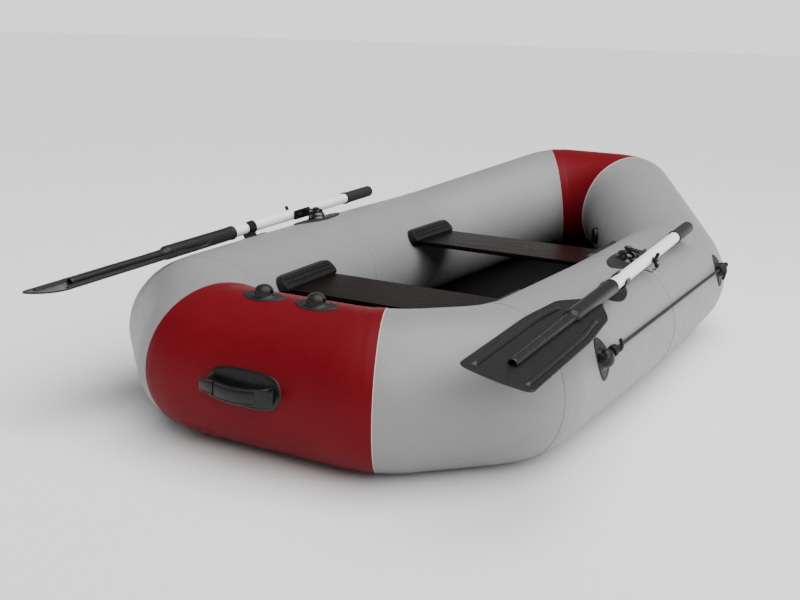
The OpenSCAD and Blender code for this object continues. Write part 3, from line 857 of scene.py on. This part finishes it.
def along_y(m):
    """Local Z runs along the shaft towards the blade."""
    return m @ Matrix.Rotation(rad(90), 4, "X")


BLADE_NECK, BLADE_WIDE, BLADE_MAX = 0.016, 0.060, 0.072
BLADE_TIP, BLADE_TIP_R = 0.987, 0.012


def ease(t):
    """Smooth step from 0 to 1."""
    t = min(1.0, max(0.0, t))
    return t * t * (3 - 2 * t)


def blade_half(s):
    """Half width of the blade at s metres aft of the oarlock."""
    a = BLADE_NECK + (BLADE_WIDE - BLADE_NECK) * ease((s - 0.415) / 0.125)
    a += (BLADE_MAX - BLADE_WIDE) * ease((s - 0.50) / 0.20)
    left = BLADE_TIP - s
    if left < BLADE_TIP_R:
        a -= BLADE_TIP_R - math.sqrt(max(0.0, BLADE_TIP_R**2 - (BLADE_TIP_R - left) ** 2))
    return a


def blade_mesh():
    m = oar_matrix() @ Matrix.Rotation(rad(11), 4, "Y")
    ss = list(np.linspace(0.418, 0.62, 46)) + list(np.linspace(0.625, 0.955, 50))
    ss += list(np.linspace(0.9565, 0.974, 10)) + [0.976, 0.979, 0.982, 0.984, 0.9855, 0.9866, 0.987]
    top, bot, cols = [], [], 0
    for s in ss:
        h = blade_half(s)
        f = min(1.0, max(0.25, (h - 0.004) / 0.05))
        c = h - 0.021 * f
        ab = [0.0, 0.3 * c, 0.6 * c, max(0.65 * c, c - 0.011 * f)]
        ab += [c + o * f for o in (-0.0072, -0.0062, -0.0054, -0.0045, -0.003, -0.0015, 0, 0.0015,
                                   0.003, 0.0045,
                                   0.0054, 0.0062, 0.0072)]
        ab += [h - 0.009 * f, h - 0.0045 * f, h - 0.0033 * f, h - 0.0022 * f, h - 0.0008 * f, h]
        xs = [-x for x in reversed(ab[1:])] + ab
        cols = len(xs)
        on = min(1.0, max(0.0, (s - 0.556) / 0.012)) * min(1.0, max(0.0, (0.966 - s) / 0.006))
        on = math.sqrt(on)
        for i, x in enumerate(xs):
            d = (abs(x) - c) / (0.0056 * f)
            rib = 0.0042 * on * math.sqrt(max(0.0, 1 - d * d)) if abs(d) < 1 else 0.0
            groove = -0.0006 * on if 1 <= abs(d) < 1.2 else 0.0
            edge = h - abs(x)
            rim = 0.0007 * min(1.0, max(0.0, 1 - abs(edge - 0.0022) / 0.002)) if s < 0.983 else 0.0
            cup = 0.004 * (x / 0.072) ** 2
            fall = 0.0016 if edge < 0.0004 else (0.0004 if edge < 0.001 else 0.0)
            thin = 0.0020 - fall
            zc = -0.0052 + cup
            top.append(m @ Vector((x, -s, zc + thin + rib + groove + rim)))
            bot.append(m @ Vector((x, -s, zc - thin - 0.5 * rim + 0.3 * rib)))
    n = len(ss)
    faces = grid_faces(n, cols, flip_n=True)
    k = len(top)
    faces += grid_faces(n, cols, base=k)
    for i in range(n - 1):
        a, b = i * cols, (i + 1) * cols
        faces.append((a, b, k + b, k + a))
        a, b = a + cols - 1, b + cols - 1
        faces.append((b, a, k + a, k + b))
    for j in range(cols - 1):
        faces.append((j + 1, j, k + j, k + j + 1))
        a = (n - 1) * cols + j
        faces.append((a, a + 1, k + a + 1, k + a))
    ob = make_object("oar_blade_plate_starboard", top + bot, faces, [BLADE])
    fix_normals(ob)
    ob.data.set_sharp_from_angle(angle=rad(50))
    return ob


def socket_mesh():
    m = along_y(oar_matrix())
    prof = [(0.0152, 0.350), (0.0152, 0.324), (0.0160, 0.3222), (0.0178, 0.3226), (0.0188, 0.3240),
            (0.0190, 0.3262)]
    prof += [(0.0188, 0.3315), (0.0182, 0.3335), (0.0179, 0.338), (0.0179, 0.585), (0.0176, 0.590),
             (0.0166, 0.5935)]
    prof += [(0.0140, 0.5950), (0.0130, 0.5975), (0.0124, 0.610), (0.0117, 0.700), (0.0103, 0.900),
             (0.0101, 0.9062)]
    prof += [(0.0094, 0.9092), (0.0084, 0.9098), (0.0073, 0.9092), (0.0066, 0.9070),
             (0.0064, 0.850), (0.0005, 0.848)]
    return lathe("oar_socket_starboard", m, prof, [BLADE], 56, sharp=50)


def grip_mesh():
    m = along_y(oar_matrix())
    prof = [(0.0005, -0.3975), (0.0060, -0.3974), (0.0068, -0.3962), (0.0080, -0.3962),
            (0.0088, -0.3974)]
    prof += [(0.0130, -0.3968), (0.0156, -0.3950), (0.0167, -0.3920), (0.0170, -0.388)]
    prof += [(0.0170, -0.2600), (0.0168, -0.2545), (0.0160, -0.2535), (0.0160, -0.2528)]
    prof += [(0.0178, -0.2522), (0.0187, -0.2505), (0.0189, -0.2480), (0.0187, -0.2455),
             (0.0178, -0.2438), (0.0154, -0.2432)]
    fm = [0] * 12 + [1] * 6
    return lathe("oar_grip_sleeve_starboard", m, prof, [GRIP, RUBBER], 64, fm, sharp=40)


for make, node, slot in ((blade_mesh, "oar_blade_", "black_plastic"),
                         (socket_mesh, None, "black_plastic"),
                         (grip_mesh, "oar_grip_", "grip_rubber")):
    ob = make()
    for side, g in SIDES:
        o = ob if g > 0 else mirrored(ob, ob.name.replace("starboard", "port"))
        place(o, "oar_" + side, slot, *([node + side] if node else []))


# ---------------------------------------------------------------- cords
def spline(points, step):
    """Points along a smooth curve through the given ones, about one step apart."""
    p = [np.asarray(q, float) for q in points]
    p = [2 * p[0] - p[1]] + p + [2 * p[-1] - p[-2]]
    out = []
    for i in range(1, len(p) - 2):
        n = max(1, int(round(np.linalg.norm(p[i + 1] - p[i]) / step)))
        for k in range(n):
            t = k / n
            a = 2 * p[i]
            b = p[i + 1] - p[i - 1]
            c = 2 * p[i - 1] - 5 * p[i] + 4 * p[i + 1] - p[i + 2]
            d = -p[i - 1] + 3 * p[i] - 3 * p[i + 1] + p[i + 2]
            out.append(0.5 * (a + b * t + c * t * t + d * t**3))
    out.append(p[-2])
    return out


def rope(name, pts, r, mat, n=14, closed=False):
    pts = [np.asarray(p, float) for p in pts]
    m = len(pts)
    verts, uvs, run = [], [], 0.0
    ref = None
    for i, p in enumerate(pts):
        a = pts[(i - 1) % m] if closed or i else pts[0]
        b = pts[(i + 1) % m] if closed or i < m - 1 else pts[-1]
        t = unit(b - a)
        if ref is None:
            ref = np.array([0.31, 0.17, 0.93])
        side = unit(np.cross(t, ref)) if i == 0 else unit(side - (side @ t) * t)
        up = np.cross(t, side)
        if i:
            run += np.linalg.norm(p - pts[i - 1])
        for k in range(n):
            ang = 2 * math.pi * k / n
            verts.append(p + r * (math.cos(ang) * side + math.sin(ang) * up))
            uvs.append((run, r * ang))
    faces = grid_faces(m, n, close_v=True, flip_n=False)
    if closed:
        for k in range(n):
            faces.append(((m - 1) * n + k, (m - 1) * n + (k + 1) % n, (k + 1) % n, k))
    else:
        for end, s, t in ((0, -1, unit(pts[0] - pts[1])), (m - 1, 1, unit(pts[-1] - pts[-2]))):
            c = len(verts)
            verts.append(pts[end] + t * r * 0.45)
            uvs.append((run, 0))
            for k in range(n):
                f = (end * n + k, end * n + (k + 1) % n, c)
                faces.append(f if s > 0 else f[::-1])
    ob = make_object(name, verts, faces, [mat], None, True, uvs)
    return fix_normals(ob)


def eye_centre(y):
    a = rad(20)
    return np.array([side_x(y) + (R + 0.012) * math.cos(a), YS + y, R + (R + 0.012) * math.sin(a)])


E1, E2 = eye_centre(-0.500), eye_centre(0.515)
UX = np.array([math.sin(-YAW_AFT), math.cos(-YAW_AFT), 0])
UY = np.array([math.sin(-YAW_FORE), math.cos(-YAW_FORE), 0])
route = [E1 - 0.030 * UX, E1 - 0.018 * UX, E1, E1 + 0.018 * UX, E1 + 0.036 * UX]
route += [np.array([x, YS + y, z]) for x, y, z in (
    (0.5762, -0.360, 0.2222), (0.5802, -0.240, 0.2244), (0.5843, -0.120, 0.2264),
    (0.5883, 0.0, 0.2285),
    (0.5884, 0.120, 0.2265), (0.5886, 0.240, 0.2244), (0.5887, 0.360, 0.2223))]
route += [E2 - 0.036 * UY, E2 - 0.018 * UY, E2, E2 + 0.018 * UY, E2 + 0.030 * UY]
line_pts = spline(route, 0.006)
lifeline = rope("lifeline_cord", line_pts, 0.004, ROPE, 16)
place(lifeline, "hull", "rope", "lifeline")


def hitch(name, c, d, turns, tail):
    """Wraps of the cord round its own standing part, with a free tail."""
    d = unit(d)
    s = unit(np.cross(d, [0, 0, 1]))
    u = np.cross(s, d)
    pts = []
    n = int(turns * 22)
    for i in range(n + 1):
        a = 2 * math.pi * i / 22
        ring = 0.0088 * (math.cos(a) * u + math.sin(a) * s)
        pts.append(c + d * (0.0080 * a / (2 * math.pi)) + ring)
    pts += [pts[-1] + np.asarray(q) for q in tail]
    return rope(name, spline(pts, 0.003), 0.0041, ROPE, 12)


def stopper(name, c, d):
    d = unit(d)
    s = unit(np.cross(d, [0, 0, 1]))
    u = np.cross(s, d)
    pts = []
    for i in range(90):
        t = 2 * math.pi * i / 90
        x = math.sin(t) + 2 * math.sin(2 * t)
        y = math.cos(t) - 2 * math.cos(2 * t)
        z = -math.sin(3 * t)
        pts.append(c + 0.0031 * (x * s + y * u) + 0.0042 * z * d)
    return rope(name, pts, 0.0036, ROPE, 12, closed=True)


knots = [
    hitch("lifeline_hitch_aft", E1 + 0.023 * UX, UX, 2.3,
          [(0.004, 0.005, 0.006), (0.003, 0.008, 0.014), (-0.001, 0.009, 0.024)]),
    hitch("lifeline_hitch_fore", E2 - 0.040 * UY, UY, 2.2,
          [(0.004, 0.003, -0.008), (0.006, 0.001, -0.020), (0.004, -0.004, -0.032)]),
    stopper("lifeline_stopper_aft", E1 - 0.031 * UX, UX),
    stopper("lifeline_stopper_fore", E2 + 0.031 * UY, UY),
]
for i, o in enumerate(knots):
    place(o, "hull", "rope", *(["lifeline_knots"] if i == 0 else []))

tether = [(0.551, -0.042, 0.333), (0.550, -0.046, 0.328), (0.546, -0.052, 0.324),
          (0.548, -0.058, 0.320),
          (0.543, -0.063, 0.322), (0.544, -0.070, 0.317), (0.539, -0.076, 0.318),
          (0.536, -0.082, 0.321),
          (0.530, -0.087, 0.3225)]
for side, g in SIDES:
    pts = spline([(g * x, YS + y, z) for x, y, z in tether], 0.0025)
    t = rope("nut_tether_cord_" + side, pts, 0.0013, CORD, 10)
    place(t, "oar_" + side, "rope", "nut_tether_" + side)


# ---------------------------------------------------------------- finishes of the CAD nodes
FINISH = {"black_rubber": RUBBER, "black_plastic": PLASTIC, "steel": STEEL, "aluminium_tube": SHAFT,
          "grip_rubber": GRIP, "rope": ROPE, "grey_pvc": GREY, "red_pvc": RED, "floor_pvc": FLOOR,
          "plywood": PLY}
for part in frame["record"]["subparts"]:
    node = frame["nodes"][part["node"]]
    for s in node.material_slots:
        s.material = FINISH[part["material_slot"]]
    node.data.set_sharp_from_angle(angle=rad(30))


# ---------------------------------------------------------------- floor and light
FLOOR_RADIUS = 40.0
FLOOR_DROP = 0.0005
FLOOR_SIDES = 96


def stage():
    n = FLOOR_SIDES
    verts = [(0, 0, -FLOOR_DROP)]
    for i in range(n):
        a = 2 * math.pi * i / n
        verts.append((FLOOR_RADIUS * math.cos(a), FLOOR_RADIUS * math.sin(a), -FLOOR_DROP))
    m = Mat("studio_floor", (0.88, 0.88, 0.88), 0.7, spec=0.1)
    m.tint(m.noise(0.5, 3.0), (0.865, 0.865, 0.865), 0.4, 0.7, 0.6)
    ob = make_object("studio_floor", verts, [(0, i + 1, (i + 1) % n + 1) for i in range(n)],
                     [m.mat])


stage()


def area(name, loc, target, size, power, color=(1, 1, 1)):
    data = bpy.data.lights.new(name, "AREA")
    data.shape = "RECTANGLE"
    data.size, data.size_y = size
    data.energy = power
    data.color = color
    ob = bpy.data.objects.new(name, data)
    bpy.context.scene.collection.objects.link(ob)
    ob.location = loc
    ob.rotation_mode = "QUATERNION"
    ob.rotation_quaternion = (Vector(target) - Vector(loc)).to_track_quat("-Z", "Y")
    return ob


def sky_light(name, strength, angle, tilt_x, tilt_y):
    """A very wide, even light from above, so the whole floor is lit alike."""
    data = bpy.data.lights.new(name, "SUN")
    data.energy = strength
    data.angle = rad(angle)
    ob = bpy.data.objects.new(name, data)
    bpy.context.scene.collection.objects.link(ob)
    ob.rotation_euler = (rad(tilt_x), rad(tilt_y), 0)


sky_light("sky_soft", 4.6, 85, 8, 27)
area("top_soft", (0.9, 0.2, 3.3), (0.05, -0.1, 0.2), (2.2, 3.6), 55)
area("right_soft", (3.6, -0.4, 1.5), (0.3, -0.1, 0.25), (1.2, 3.0), 20)


HORIZON_LEVEL = 1.0
ZENITH_LEVEL = 0.13
WORLD_STRENGTH = 1.42


def studio_world():
    """White at the horizon and a dimmer grey above it."""
    world = bpy.data.worlds.new("studio")
    world.use_nodes = True
    nt = world.node_tree
    bg = nt.nodes["Background"]
    tc = nt.nodes.new("ShaderNodeTexCoord")
    sep = nt.nodes.new("ShaderNodeSeparateXYZ")
    mr = nt.nodes.new("ShaderNodeMapRange")
    for k, v in (("From Min", 0.05), ("From Max", 0.22), ("To Min", HORIZON_LEVEL),
                 ("To Max", ZENITH_LEVEL)):
        mr.inputs[k].default_value = v
    nt.links.new(tc.outputs["Generated"], sep.inputs[0])
    nt.links.new(sep.outputs[2], mr.inputs["Value"])
    nt.links.new(mr.outputs[0], bg.inputs["Color"])
    bg.inputs["Strength"].default_value = WORLD_STRENGTH
    bpy.context.scene.world = world


studio_world()
